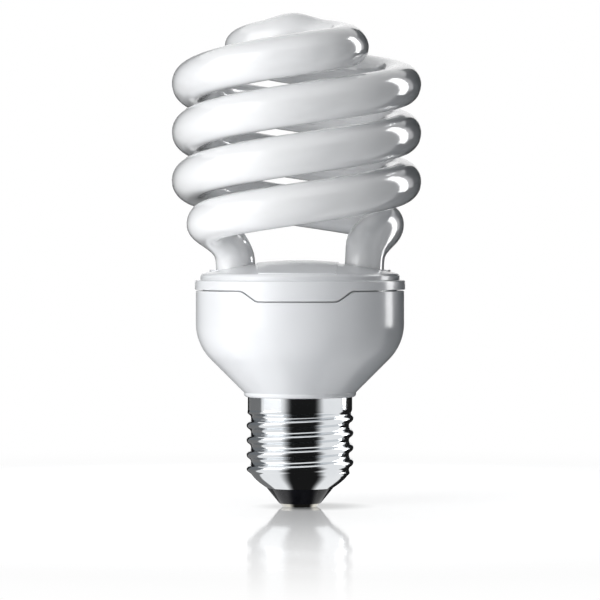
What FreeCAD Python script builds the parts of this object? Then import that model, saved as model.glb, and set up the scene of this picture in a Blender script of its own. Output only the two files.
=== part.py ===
import FreeCAD, Part
import math
import os
from FreeCAD import Vector

# Spiral energy saving lamp, E27 cap down, standing on the flat of its centre contact.
# The origin is the centre of that flat, +Z runs up the lamp's axis, and -Y is the front.

# Cap: rolled shell with the round Edison thread, after the E27 standard
cap_height = 27.0
thread_crest_r = 13.15
thread_pitch = 3.629
thread_arc_r = 1.025
shell_wall = 0.3
shell_band_r = 12.85
shell_mouth_r = 8.2
shell_mouth_z = 4.6
shoulder_top_z = 8.8
thread_start_z = 7.4
thread_end_depth = 4.8
thread_fade = 1.7
thread_crest_z = 10.9
shell_ring_count = 56
shell_column_count = 18

# Insulator and centre contact
contact_r = 4.0
contact_dish = 0.8
contact_rim_r = 5.1
contact_plate = 0.4
contact_bend = 0.5
contact_hole_r = 0.8
eyelet_rise = 2.4
solder_rise = 2.0
insulator_flange_z = 7.6
insulator_bore_r = 1.4
insulator_neck_rise = 0.6
insulator_hollow = 0.1
cap_fit = 0.1

# Housing cup below the seam, measured up from the cap
cup_r = 25.6
cup_height = 26.1
cup_wall = 1.6
cup_blend_r = 12.5
lip_r = 13.8
lip_height = 1.1
lip_round = 0.7
seam_gap = 0.3
neck_depth = 8.5
neck_r = 11.1
neck_bore_r = 9.9
neck_seat_depth = 2.8
rib_count = 4
rib_first_deg = 45
rib_width = 2.0
rib_reach = 2.6
rib_height = 7.0
rib_root = 0.8

# Domed cover above the seam, measured up from it
cover_proud = 0.25
cover_step = 2.6
cover_edge = 0.3
rim_inset = 1.35
rim_edge_r = 0.6
dome_height = 7.2
dome_r = 100.0
cover_wall = 1.6
land_rise = 0.3
land_half_middle = 10.1
land_half_rim = 9.3
land_offset = -0.6
spigot_fit = 0.15
spigot_wall = 1.2
bead_depth = 4.2
bead_proud = 0.3
bead_half = 0.5
groove_play = 0.2
tab_depth = 2.25
tab_half = 9.75
tab_flare = 3.5
tab_round = 2.3
tab_offset = -0.75
tab_root = 0.4
collar_wall = 1.2
collar_depth = 8.3

# Discharge tube: two strands of one spiral, joined over the top by an S-shaped bridge
tube_r = 5.05
tube_facets = 12
strand_rows = 52
leg_rows = 8
leg_growth = 6.0
leg_r = 4.85
leg_inset = 9.8
leg_rise = 0.7
leg_lead_in = 4.0
coil_r = 25.75
coil_pitch = 23.8
coil_rise = 7.9
coil_first_deg = 50
coil_last_deg = 630
coil_step_deg = 20
elbow_rise = 8.0
elbow_run = 16.4
crown_swell = 0.4
crown_swell_reach = 19.0
cold_spot = 0.75
cold_spot_reach = 8.2
spiral_drift = 0.85
spiral_drift_rise = 7.0
crown_drift = 0.8
crown_drift_rise = 9.0
pinch_depth = 11.9
pinch_height = 3.4
pinch_half_width = 4.6
pinch_half_thick = 1.5
cement_fit = 0.4
cement_pool = 1.4
cement_depth = 4.2
skin_gap = 0.05

# Circuit board and what hangs from it
board_fit = 0.7
board_thick = 1.6
board_depth = 7.9
can_r = 6.25
can_length = 25.0
can_groove = 0.5
can_groove_low = 3.2
can_groove_high = 2.2
core_width = 12.6
core_depth = 6.0
core_height = 10.5
core_back = 2.4
core_outer_leg = 2.2
core_middle_leg = 3.2
bobbin_fit = 0.1
bobbin_wall = 0.5
bobbin_depth = 12.0
winding_inset = 0.3
winding_round = 1.2
transistor_width = 8.0
transistor_thick = 3.0
transistor_height = 11.0
transistor_leg = 1.0
transistor_leg_step = 2.3
transistor_hole_r = 1.6
transistor_hole_rise = 3.4
ring_core_r = 4.8
ring_core_hole_r = 2.6
ring_core_height = 3.2
ring_wire = 0.5
ring_sector_deg = 50
drum_r = 3.0
drum_waist_r = 1.6
drum_height = 8.0
drum_flange = 1.2
film_width = 8.0
film_thick = 4.5
film_height = 7.5
film_round = 1.0
snubber_r = 3.0
snubber_thick = 2.5
thermistor_r = 3.2
thermistor_thick = 3.0
disc_lift = 1.5
disc_lead_share = 0.7
fusible_r = 1.6
fusible_length = 9.0
resistor_r = 1.2
resistor_length = 6.3
diode_r = 1.35
diode_length = 5.2
diac_r = 0.95
diac_length = 4.0
axial_lift = 0.1
axial_lead = 1.6
component_gap = 0.75
can_x = -3.4
transistor_x = -1.0
transistor_y = 12.0
ring_core_x = -13.5
ring_core_y = 9.5
drum_x = 11.0
drum_y = -12.0
lead_width = 0.6
lead_sink = 0.5
post_width = 0.9
post_height = 4.6
post_y = 7.5
post_coil = 0.4
post_coil_height = 1.4
electrode_wire = 0.4
electrode_y = 2.2
supply_wire_r = 0.6
supply_x = 2.0
supply_y = 7.5
supply_bend_low_z = 9.0
supply_bend_high_z = 17.0
neutral_wire_r = 0.3
neutral_tail = 4.0

# Places of the small parts under the board, from its middle
spots = {
    "resonant_capacitor": (-13.5, -8.5),
    "coupling_capacitor": (10.5, 11.5),
    "snubber_capacitor": (10.2, 16.0),
    "thermistor": (4.5, -16.0),
    "fusible_resistor": (-20.0, 0.0),
    "diac": (-7.5, 17.5),
    "start_resistor": (2.5, 19.5),
    "base_resistor_1": (-6.5, -16.2),
    "base_resistor_2": (-4.5, -19.6),
    "rectifier_diode_1": (18.2, 4.4),
    "rectifier_diode_2": (18.2, -4.4),
    "rectifier_diode_3": (21.4, 4.4),
    "rectifier_diode_4": (21.4, -4.4),
}

# Worked out from the sizes above
thread_end_z = cap_height - thread_end_depth
cover_r = cup_r + cover_proud
rim_r = cover_r - rim_inset
seam_z = cap_height + cup_height
tab_bottom_z = seam_z - tab_depth
cover_step_z = seam_z + cover_step
dome_top_z = seam_z + dome_height
bead_z = seam_z - bead_depth
collar_bottom_z = dome_top_z - collar_depth
board_z = seam_z - board_depth
board_r = cup_r - cup_wall - board_fit
leg_x = cup_r - leg_inset
leg_top_z = dome_top_z + leg_rise
coil_start_z = dome_top_z + coil_rise
coil_top_z = coil_start_z + coil_pitch * coil_last_deg / 360
pinch_bottom_z = dome_top_z - pinch_depth
leg_hole_r = leg_r + cement_fit
neck_bottom_z = cap_height - neck_depth
neck_seat_z = cap_height - neck_seat_depth
neck_seat_r = shell_band_r - shell_wall - spigot_fit
core_x = can_x + can_r + component_gap + core_width / 2


def smooth_step(share):
    share = min(1.0, max(0.0, share))
    return share * share * (3 - 2 * share)


def rotate_copy(shape, degrees):
    turned = shape.copy()
    turned.rotate(Vector(0, 0, 0), Vector(0, 0, 1), degrees)
    return turned


def cylinder(radius, z_low, z_high, x=0.0, y=0.0):
    return Part.makeCylinder(radius, z_high - z_low, Vector(x, y, z_low))


def block(x_size, y_size, z_size, x, y, z_low):
    corner = Vector(x - x_size / 2, y - y_size / 2, z_low)
    return Part.makeBox(x_size, y_size, z_size, corner)


def revolve(edges):
    return Part.Face(Part.Wire(edges)).revolve(Vector(0, 0, 0), Vector(0, 0, 1), 360)


def profile_lines(points):
    """Straight edges through (r, z) points, in the XZ plane."""
    places = [Vector(r, 0, z) for r, z in points]
    return [Part.LineSegment(a, b).toShape() for a, b in zip(places, places[1:])]


def profile_arc(start, middle, end):
    a, b, c = [Vector(r, 0, z) for r, z in (start, middle, end)]
    return Part.Arc(a, b, c).toShape()


def rod(path_points, radius):
    """A round wire along straight runs, with a ball at each bend."""
    places = [Vector(*p) for p in path_points]
    solids = []
    for a, b in zip(places, places[1:]):
        solids.append(Part.makeCylinder(radius, (b - a).Length, a, b - a))
    for bend in places[1:-1]:
        solids.append(Part.makeSphere(radius, bend))
    return solids[0] if len(solids) == 1 else solids[0].multiFuse(solids[1:])


def rounded_outline(corners, y):
    """A closed wire in the plane at y through (x, z, radius) corners, each rounded by its radius."""
    places = [Vector(x, y, z) for x, z, radius in corners]
    entries = []
    leaves = []
    arcs = []
    for i, (x, z, radius) in enumerate(corners):
        here = places[i]
        back = (places[i - 1] - here).normalize()
        onward = (places[(i + 1) % len(places)] - here).normalize()
        half_angle = back.getAngle(onward) / 2
        reach = radius / math.tan(half_angle)
        entries.append(here + back * reach)
        leaves.append(here + onward * reach)
        if radius > 0:
            middle = here + (back + onward).normalize() * (radius / math.sin(half_angle) - radius)
            arcs.append(Part.Arc(entries[i], middle, leaves[i]).toShape())
        else:
            arcs.append(None)
    edges = []
    for i, arc in enumerate(arcs):
        if arc:
            edges.append(arc)
        edges.append(Part.LineSegment(leaves[i], entries[(i + 1) % len(places)]).toShape())
    return Part.Wire(edges)


def spline_skin(rings):
    """A smooth face over closed rings of points; the two outermost rings at each end only steer it."""
    count = len(rings[0])
    pulled = []
    for i in range(1, len(rings) - 1):
        row = []
        for k in range(count):
            here = rings[i][k]
            along = rings[i - 1][k] + rings[i + 1][k] - here * 2
            round_it = rings[i][k - 1] + rings[i][(k + 1) % count] - here * 2
            row.append(here - (along + round_it) * (1 / 6))
        pulled.append(row)
    rows = len(pulled)
    face = Part.BSplineSurface()
    along_knots = list(range(rows + 4))
    round_knots = list(range(count + 1))
    face.buildFromPolesMultsKnots(
        pulled, [1] * (rows + 4), [1] * (count + 1), along_knots, round_knots, False, True, 3, 3
    )
    face.segment(3, rows, 0, count)
    return face.toShape()


def end_edge(face, z):
    for edge in face.Edges:
        box = edge.BoundBox
        if abs(box.ZMin - z) < 1e-3 and abs(box.ZMax - z) < 1e-3:
            return edge
    raise ValueError("no edge at the height " + str(z))


def closed_solid(faces):
    shell = Part.makeShell(faces)
    shell.sewShape(1e-4)
    solid = Part.Solid(shell)
    if solid.Volume < 0:
        solid.reverse()
    return solid


def thread_depth():
    half = math.asin(thread_pitch / 4 / thread_arc_r)
    return 2 * thread_arc_r * (1 - math.cos(half))


def thread_wave(turns):
    """Height over the thread root, with turns measured from a crest."""
    off = abs((turns + 0.5) % 1 - 0.5) * thread_pitch
    if off < thread_pitch / 4:
        return thread_depth() - thread_arc_r + math.sqrt(thread_arc_r**2 - off**2)
    off = thread_pitch / 2 - off
    return thread_arc_r - math.sqrt(thread_arc_r**2 - off**2)


def shoulder_radius(z):
    share = min(1.0, max(0.0, (z - shell_mouth_z) / (shoulder_top_z - shell_mouth_z)))
    root_r = thread_crest_r - thread_depth()
    return shell_mouth_r + (root_r - shell_mouth_r) * math.sin(math.pi / 2 * share)


def shell_radius(angle, z):
    crest_z = thread_crest_z + thread_pitch * angle / (2 * math.pi)
    threaded = thread_crest_r - thread_depth() + thread_wave((z - crest_z) / thread_pitch)
    top_share = smooth_step((z - thread_end_z) / thread_fade)
    low_share = smooth_step((z - thread_start_z) / thread_fade)
    radius = threaded * (1 - top_share) + shell_band_r * top_share
    return shoulder_radius(z) * (1 - low_share) + radius * low_share


def shell_rings(wall, rows, count):
    rings = []
    step = (cap_height - shell_mouth_z) / rows
    for i in range(-2, rows + 3):
        z = shell_mouth_z + step * i
        ring = []
        for k in range(count):
            angle = 2 * math.pi * k / count
            r = shell_radius(angle, z) - wall
            ring.append(Vector(r * math.cos(angle), r * math.sin(angle), z))
        rings.append(ring)
    return rings


def screw_shell():
    outside = spline_skin(shell_rings(0.0, shell_ring_count, shell_column_count))
    inside = spline_skin(shell_rings(shell_wall, shell_ring_count, shell_column_count))
    faces = [outside, inside]
    for z in (shell_mouth_z, cap_height):
        rims = [Part.Wire(end_edge(face, z)) for face in (outside, inside)]
        faces.append(Part.makeFace(rims, "Part::FaceMakerBullseye"))
    return closed_solid(faces)


def cap_insulator():
    """The black glass plug: a hollow-sided cone below the shell's mouth and a flange inside it."""
    rest_z = contact_dish + contact_plate
    flange_r = shoulder_radius(insulator_flange_z) - shell_wall - cap_fit
    neck = shell_mouth_r - shell_wall - cap_fit
    neck_z = shell_mouth_z + insulator_neck_rise
    slope_r = (contact_rim_r + shell_mouth_r) / 2 + insulator_hollow
    slope_z = (contact_dish + shell_mouth_z) / 2 + insulator_hollow
    edges = profile_lines([(0, rest_z), (contact_rim_r, rest_z), (contact_rim_r, contact_dish)])
    low = (contact_rim_r, contact_dish)
    edges.append(profile_arc(low, (slope_r, slope_z), (shell_mouth_r, shell_mouth_z)))
    edges += profile_lines([(shell_mouth_r, shell_mouth_z), (neck, shell_mouth_z), (neck, neck_z)])
    edges += profile_lines([(neck, neck_z), (flange_r, insulator_flange_z), (0, insulator_flange_z)])
    edges += profile_lines([(0, insulator_flange_z), (0, rest_z)])
    return revolve(edges).cut(cylinder(insulator_bore_r, 0, cap_height))


def centre_contact():
    """A dished brass disc with its eyelet up through the insulator."""
    rim = contact_rim_r - cap_fit
    rim_top = contact_dish + contact_plate
    outer = [(0, 0), (contact_r, 0), (rim, contact_dish), (rim, rim_top)]
    inner = [(contact_r, rim_top), (contact_r - contact_bend, contact_plate), (0, contact_plate)]
    body = revolve(profile_lines(outer + inner + [(0, 0)]))
    eyelet = cylinder(insulator_bore_r - cap_fit, contact_plate, contact_dish + eyelet_rise)
    return body.fuse(eyelet).cut(cylinder(contact_hole_r, -1, cap_height)).removeSplitter()


def contact_solder():
    return cylinder(contact_hole_r, 0, contact_dish + solder_rise)


def bowl_outline(inset):
    """The bowl's side from its cone up to the seam, as (edges, lowest point)."""
    side_r = cup_r - inset
    offset = lip_r - cap_height - lip_height
    centre_r = cup_r - cup_blend_r
    centre_z = centre_r - offset + cup_blend_r * math.sqrt(2)
    arc_r = cup_blend_r - inset
    top = (side_r, centre_z)
    middle = (centre_r + arc_r * math.cos(math.pi / 8), centre_z - arc_r * math.sin(math.pi / 8))
    low = (centre_r + arc_r * math.sqrt(0.5), centre_z - arc_r * math.sqrt(0.5))
    foot_r = neck_bore_r if inset else lip_r
    foot = (foot_r, low[1] - (low[0] - foot_r))
    edges = profile_lines([foot, low])
    edges.append(profile_arc(low, middle, top))
    edges += profile_lines([top, (side_r, seam_z)])
    return edges, foot


def tab_prism(gap, low_r, high_r):
    """The tab's outline seen from the front, through the wall at the front and at the back."""
    steep = math.atan2(tab_depth + seam_gap, tab_flare)
    half = tab_half + gap * math.tan(steep / 2)
    low_z = tab_bottom_z - gap
    top_z = seam_z + seam_gap - gap
    high_z = cover_step_z - tab_root
    low_round = tab_round + gap
    top_round = tab_round - gap
    right = [(half, low_z, low_round), (half + tab_flare, top_z, top_round)]
    right += [(cover_r, top_z, 0), (cover_r, high_z, 0)]
    left = [(-x, z, radius) for x, z, radius in reversed(right)]
    corners = [(x + tab_offset, z, radius) for x, z, radius in right + left]
    outline = rounded_outline(corners, -cover_r - 1)
    prism = Part.Face(outline).extrude(Vector(0, 2 * cover_r + 2, 0))
    ring = cylinder(high_r, low_z - 1, high_z + 1).cut(cylinder(low_r, low_z - 2, high_z + 2))
    return prism.common(ring)


def housing_cup():
    """The lower housing: a bowl on a 45 degree cone, a neck for the cap, and ribs under the board."""
    outside, foot = bowl_outline(0.0)
    lip_turn = lip_round * (1 - math.sqrt(0.5))
    lip_side = (lip_r, cap_height + lip_round)
    lip_low = (lip_r - lip_round, cap_height)
    base = profile_lines([(cup_r, seam_z), (0, seam_z), (0, neck_bottom_z), (neck_r, neck_bottom_z)])
    base += profile_lines([(neck_r, neck_bottom_z), (neck_r, neck_seat_z), (neck_seat_r, neck_seat_z)])
    base += profile_lines([(neck_seat_r, neck_seat_z), (neck_seat_r, cap_height), lip_low])
    base.append(profile_arc(lip_low, (lip_r - lip_turn, cap_height + lip_turn), lip_side))
    base += profile_lines([lip_side, foot])
    solid = revolve(outside + base)
    inside, bore = bowl_outline(cup_wall)
    room = profile_lines([(cup_r - cup_wall, seam_z), (0, seam_z), (0, 0), (neck_bore_r, 0), bore])
    solid = solid.cut(revolve(inside + room))
    groove_half = bead_half + groove_play
    groove_r = cup_r - cup_wall + bead_proud
    solid = solid.cut(cylinder(groove_r, bead_z - groove_half, bead_z + groove_half))
    solid = solid.cut(tab_prism(seam_gap, cup_r - cup_wall - 1, cup_r + 1))
    ribs = []
    for i in range(rib_count):
        length = rib_reach + rib_root
        middle_r = cup_r - cup_wall - rib_reach + length / 2
        rib = block(length, rib_width, rib_height, middle_r, 0, board_z - rib_height)
        ribs.append(rotate_copy(rib, rib_first_deg + 360 / rib_count * i))
    limits = revolve(outside + profile_lines([(cup_r, seam_z), (0, seam_z), (0, foot[1]), foot]))
    return solid.fuse([rib.common(limits) for rib in ribs]).removeSplitter()


def dome_edge(radius, z_top, from_r, to_r):
    """An arc of the dome's sphere between two radii."""
    centre_z = z_top - radius
    place = [(r, centre_z + math.sqrt(radius**2 - r**2)) for r in (from_r, (from_r + to_r) / 2, to_r)]
    return profile_arc(*place), place[0], place[2]


def cover_land():
    """The raised land across the dome, between the two legs, a little narrower at the rim."""
    centre = Vector(0, 0, dome_top_z - dome_r)
    skin = Part.makeSphere(dome_r + land_rise, centre).cut(Part.makeSphere(dome_r - cover_wall / 2, centre))
    right = [(land_half_rim, -rim_r), (land_half_middle, 0), (land_half_rim, rim_r)]
    plan = right + [(-x, y) for x, y in reversed(right)]
    places = [Vector(x + land_offset, y, cover_step_z) for x, y in plan]
    prism = Part.Face(Part.makePolygon(places + [places[0]])).extrude(Vector(0, 0, dome_height + land_rise))
    return skin.common(prism).common(cylinder(rim_r - rim_edge_r, cover_step_z, dome_top_z + 1))


def top_cover():
    """The upper housing: dome, rim, skirt with its tab, a spigot inside the cup and two leg collars."""
    spigot_r = cup_r - cup_wall - spigot_fit
    spigot_bottom = board_z + board_thick
    spigot_in = spigot_r - spigot_wall
    bead_r = spigot_r + bead_proud
    dome, apex, brow = dome_edge(dome_r, dome_top_z, 0.0, rim_r - rim_edge_r)
    under, under_apex, under_brow = dome_edge(dome_r - cover_wall, dome_top_z - cover_wall, 0.0, spigot_in)
    turn = (rim_r - rim_edge_r * 0.3, brow[1] - rim_edge_r * 0.32)
    edge_z = brow[1] - rim_edge_r
    skirt_z = seam_z + seam_gap
    step_in = (cover_r - cover_edge, cover_step_z)
    step_turn = cover_edge * (1 - math.sqrt(0.5))
    step_out = (cover_r, cover_step_z - cover_edge)
    edges = [dome, profile_arc(brow, turn, (rim_r, edge_z))]
    edges += profile_lines([(rim_r, edge_z), (rim_r, cover_step_z), step_in])
    edges.append(profile_arc(step_in, (cover_r - step_turn, cover_step_z - step_turn), step_out))
    edges += profile_lines([step_out, (cover_r, skirt_z), (spigot_r, skirt_z)])
    edges += profile_lines([(spigot_r, skirt_z), (spigot_r, bead_z + bead_half), (bead_r, bead_z)])
    edges += profile_lines([(bead_r, bead_z), (spigot_r, bead_z - bead_half), (spigot_r, spigot_bottom)])
    edges += profile_lines([(spigot_r, spigot_bottom), (spigot_in, spigot_bottom), under_brow])
    edges += [under] + profile_lines([under_apex, apex])
    solid = revolve(edges).fuse([tab_prism(0.0, spigot_r - bead_proud, cover_r), cover_land()])
    for side in (1, -1):
        collar_top = dome_top_z - cover_wall / 2 - (dome_r - math.sqrt(dome_r**2 - leg_x**2))
        solid = solid.fuse(cylinder(leg_hole_r + collar_wall, collar_bottom_z, collar_top, side * leg_x))
    for side in (1, -1):
        solid = solid.cut(cylinder(leg_hole_r, collar_bottom_z - 1, dome_top_z + 1, side * leg_x))
    return solid.removeSplitter()


def tube_cement(side):
    """A ring of lamp cement between a leg and its collar, with a pool under the collar."""
    ring = cylinder(leg_hole_r - skin_gap, collar_bottom_z, dome_top_z - cement_depth, side * leg_x)
    pool_z = collar_bottom_z - cement_pool
    pool = cylinder(leg_hole_r + collar_wall, pool_z, collar_bottom_z, side * leg_x)
    leg = cylinder(leg_r + skin_gap, pinch_bottom_z, leg_top_z, side * leg_x)
    return ring.fuse(pool).cut(leg).removeSplitter()


def sideways_drift(z):
    """The spiral stands a little to the left of the middle of its legs, and its crown a little more."""
    spiral = spiral_drift * smooth_step((z - leg_top_z) / spiral_drift_rise)
    crown = crown_drift * smooth_step((z - coil_top_z) / crown_drift_rise)
    return -spiral - crown


def strand_points():
    """One strand's centreline from its leg to the middle of the bridge, and the crown in that middle."""
    rise = coil_pitch / 360
    first = math.radians(coil_first_deg)
    join_z = coil_start_z + rise * coil_first_deg
    join = Vector(coil_r * math.cos(first), coil_r * math.sin(first), join_z)
    heading = Vector(-math.sin(first), math.cos(first), coil_pitch / (2 * math.pi * coil_r)).normalize()
    foot = Vector(leg_x, 0, leg_top_z)
    handle_up = foot + Vector(0, 0, elbow_rise)
    handle_back = join - heading * elbow_run
    points = []
    for i in range(6):
        t = i / 6
        points.append(
            foot * (1 - t) ** 3 + handle_up * (3 * t * (1 - t) ** 2)
            + handle_back * (3 * t * t * (1 - t)) + join * t**3
        )
    for degrees in range(coil_first_deg, coil_last_deg, coil_step_deg):
        angle = math.radians(degrees)
        z = coil_start_z + rise * degrees
        points.append(Vector(coil_r * math.cos(angle), coil_r * math.sin(angle), z))
    bridge_z = coil_start_z + rise * coil_last_deg
    slope = coil_pitch / (2 * math.pi * coil_r)
    half = math.pi * coil_r / 4
    start = math.radians(coil_last_deg)
    across = Vector(math.cos(start), math.sin(start), 0)
    onward = Vector(-math.sin(start), math.cos(start), 0)
    for i in range(9):
        angle = math.pi * i / 9
        run = 2 * half * i / 9
        level = slope * min(run, half)
        if run > half:
            level += slope * (run - half) * (1 - (run - half) / (2 * half))
        place = across * (coil_r / 2 * (1 + math.cos(angle))) + onward * (coil_r / 2 * math.sin(angle))
        points.append(place + Vector(0, 0, bridge_z + level))
    crown_z = bridge_z + slope * half * 1.5
    return points, Vector(0, 0, crown_z)


def hump(height, reach, distance):
    """A smooth swelling that is gone at its reach."""
    return height * math.cos(math.pi / 2 * min(1.0, distance / reach)) ** 2


def leg_rings(side, across):
    """Rings from the pinch up to the foot of the elbow, flattened across X where the end is pinched."""
    rings = []
    step = (leg_top_z - pinch_bottom_z) / leg_rows
    for i in range(-2, leg_rows):
        z = pinch_bottom_z + step * i
        pinched = 1 - smooth_step((z - pinch_bottom_z) / pinch_height)
        wide = leg_r + (pinch_half_width - leg_r) * pinched
        thick = leg_r + (pinch_half_thick - leg_r) * pinched
        ring = []
        for k in range(tube_facets):
            angle = 2 * math.pi * k / tube_facets
            out = side * math.cos(angle) + across * math.sin(angle)
            ring.append(Vector(leg_x + out.x * thick, out.y * wide, z))
        rings.append(ring)
    return rings


def strand_rings():
    """Rings of one strand from the crown down to the foot of the elbow, with no twist between them."""
    strand, crown = strand_points()
    leg = [Vector(leg_x, 0, leg_top_z - leg_lead_in * i) for i in (3, 2, 1)]
    beyond = [Vector(-p.x, -p.y, p.z) for p in reversed(strand[-3:])]
    path = Part.BSplineCurve()
    path.interpolate(leg + strand + [crown] + beyond)
    foot_at = path.parameter(Vector(leg_x, 0, leg_top_z))
    crown_at = path.parameter(crown)
    length = path.length(foot_at, crown_at)
    side = Vector(0, 1, 0)
    rings = []
    for i in range(strand_rows + 1):
        from_crown = length * i / strand_rows
        at = path.parameterAtDistance(length - from_crown, foot_at)
        centre = path.value(at)
        heading = path.tangent(at)[0]
        side = (side - heading * side.dot(heading)).normalize()
        across = side.cross(heading)
        bump = hump(crown_swell, crown_swell_reach, from_crown)
        bump += hump(cold_spot, cold_spot_reach, from_crown)
        grown = smooth_step((centre.z - leg_top_z) / leg_growth)
        radius = leg_r + (tube_r - leg_r) * grown + bump
        ring = []
        for k in range(tube_facets):
            angle = 2 * math.pi * k / tube_facets
            out = side * math.cos(angle) + across * math.sin(angle)
            ring.append(centre + Vector(0, 0, bump) + out * radius)
        rings.append(ring)
    return rings, side, across


def discharge_tube():
    strand, side, across = strand_rings()
    first = leg_rings(side, across) + strand[::-1]
    half_turn = tube_facets // 2
    second = []
    for ring in reversed(first[:-1]):
        turned = [ring[(half_turn - k) % tube_facets] for k in range(tube_facets)]
        second.append([Vector(-p.x, -p.y, p.z) for p in turned])
    rings = []
    for ring in first + second:
        rings.append([p + Vector(sideways_drift(p.z), 0, 0) for p in ring])
    skin = spline_skin(rings)
    ends = [Part.Face(Part.Wire(edge)) for edge in skin.Edges if edge.BoundBox.ZLength < 1e-3]
    return closed_solid([skin] + ends)


def circuit_board():
    return cylinder(board_r, board_z, board_z + board_thick)


def bulk_capacitor():
    """An upright can with a rolled groove near its rubber end."""
    can = cylinder(can_r, board_z - can_length, board_z, can_x)
    groove = cylinder(can_r + 1, board_z - can_groove_low, board_z - can_groove_high, can_x)
    return can.cut(groove.cut(cylinder(can_r - can_groove, board_z - can_length, board_z, can_x)))


def choke_core(upper):
    """One half of an E core pair: a back with three legs that meet the other half's."""
    half = core_height / 2
    low = board_z - half if upper else board_z - core_height
    body = block(core_width, core_depth, half, core_x, 0, low)
    window = (core_width - 2 * core_outer_leg - core_middle_leg) / 2
    window_low = low if upper else low + core_back
    for side in (1, -1):
        window_x = core_x + side * (core_middle_leg + window) / 2
        body = body.cut(block(window, core_depth + 2, half - core_back, window_x, 0, window_low))
    return body


def choke_bobbin():
    room = core_height - 2 * core_back
    low = board_z - core_height + core_back
    bore = (core_middle_leg + 2 * bobbin_fit, core_depth + 2 * bobbin_fit)
    tube = [size + 2 * bobbin_wall for size in bore]
    flange_x = core_width - 2 * core_outer_leg - 2 * bobbin_fit
    body = block(tube[0], tube[1], room, core_x, 0, low)
    for z in (low, low + room - bobbin_wall):
        body = body.fuse(block(flange_x, bobbin_depth, bobbin_wall, core_x, 0, z))
    return body.cut(block(bore[0], bore[1], room + 2, core_x, 0, low - 1)).removeSplitter()


def choke_winding():
    room = core_height - 2 * core_back - 2 * bobbin_wall
    low = board_z - core_height + core_back + bobbin_wall
    tube_x = core_middle_leg + 2 * bobbin_fit + 2 * bobbin_wall
    tube_y = core_depth + 2 * bobbin_fit + 2 * bobbin_wall
    outer_x = core_width - 2 * core_outer_leg - 2 * bobbin_fit - 2 * winding_inset
    outer_y = bobbin_depth - 2 * winding_inset
    body = block(outer_x, outer_y, room, core_x, 0, low)
    upright = [e for e in body.Edges if e.BoundBox.ZLength > room - 0.01]
    return body.makeFillet(winding_round, upright).cut(block(tube_x, tube_y, room + 2, core_x, 0, low - 1))


def transistor(side):
    """A flat power transistor upright on three legs, with its fixing hole."""
    low = board_z - transistor_leg - transistor_height
    y = side * transistor_y
    body = block(transistor_width, transistor_thick, transistor_height, transistor_x, y, low)
    hole_start = Vector(transistor_x, y - transistor_thick, low + transistor_hole_rise)
    hole = Part.makeCylinder(transistor_hole_r, 2 * transistor_thick, hole_start, Vector(0, 1, 0))
    legs = []
    for place in (-1, 0, 1):
        x = transistor_x + place * transistor_leg_step
        leg_low = board_z - transistor_leg - lead_sink
        legs.append(block(lead_width, lead_width, transistor_leg + lead_sink, x, y, leg_low))
    return body.cut(hole).fuse(legs).removeSplitter()


def drive_core():
    high = board_z - ring_wire
    low = high - ring_core_height
    ring = cylinder(ring_core_r, low, high, ring_core_x, ring_core_y)
    return ring.cut(cylinder(ring_core_hole_r, low - 1, high + 1, ring_core_x, ring_core_y))


def drive_winding(index):
    """One of three windings on the ring core, as the close turns' outer shape."""
    high = board_z
    low = high - ring_core_height - 2 * ring_wire
    ring = cylinder(ring_core_r + ring_wire, low, high, ring_core_x, ring_core_y)
    ring = ring.cut(cylinder(ring_core_hole_r - ring_wire, low - 1, high + 1, ring_core_x, ring_core_y))
    reach = 2 * ring_core_r
    half = math.radians(ring_sector_deg / 2)
    facing = math.radians(90 + 120 * index)
    middle = Vector(ring_core_x, ring_core_y, low - 1)
    corners = [middle]
    for turn in (facing - half, facing + half):
        corners.append(middle + Vector(reach * math.cos(turn), reach * math.sin(turn), 0))
    wedge = Part.Face(Part.makePolygon(corners + [middle])).extrude(Vector(0, 0, 2 * ring_core_r))
    return ring.common(wedge).cut(drive_core())


def drum_core():
    low = board_z - drum_height
    body = cylinder(drum_waist_r, low, board_z, drum_x, drum_y)
    flanges = [cylinder(drum_r, z, z + drum_flange, drum_x, drum_y) for z in (low, board_z - drum_flange)]
    return body.fuse(flanges).removeSplitter()


def drum_winding():
    low = board_z - drum_height + drum_flange
    coil = cylinder(drum_r - winding_inset, low, board_z - drum_flange, drum_x, drum_y)
    return coil.cut(cylinder(drum_waist_r, low - 1, board_z, drum_x, drum_y))


def film_capacitor(x, y):
    """A box-shaped film part, flat against the board's underside."""
    body = block(film_width, film_thick, film_height, x, y, board_z - film_height)
    upright = [e for e in body.Edges if e.BoundBox.ZLength > film_height - 0.01]
    return body.makeFillet(film_round, upright)


def disc_part(radius, thick, x, y):
    """A round flat part standing on two leads, its face towards Y."""
    centre_z = board_z - disc_lift - radius
    disc = Part.makeCylinder(radius, thick, Vector(x, y - thick / 2, centre_z), Vector(0, 1, 0))
    leads = []
    for side in (1, -1):
        lead_x = x + side * radius * disc_lead_share
        leads.append(block(lead_width, lead_width, disc_lift + radius, lead_x, y, centre_z))
    return disc.fuse(leads).removeSplitter()


def axial_part(radius, length, x, y, along_y):
    """A round part lying under the board, its two leads bent up to it."""
    depth = board_z - radius - axial_lift
    reach = length / 2 + axial_lead
    body = Part.makeCylinder(radius, length, Vector(-length / 2, 0, depth), Vector(1, 0, 0))
    leads = [block(2 * reach, lead_width, lead_width, 0, 0, depth - lead_width / 2)]
    for side in (1, -1):
        foot = reach - lead_width / 2
        leads.append(block(lead_width, lead_width, board_z - depth, side * foot, 0, depth))
    whole = body.fuse(leads).removeSplitter()
    if along_y:
        whole = rotate_copy(whole, 90)
    whole.translate(Vector(x, y, 0))
    return whole


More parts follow.
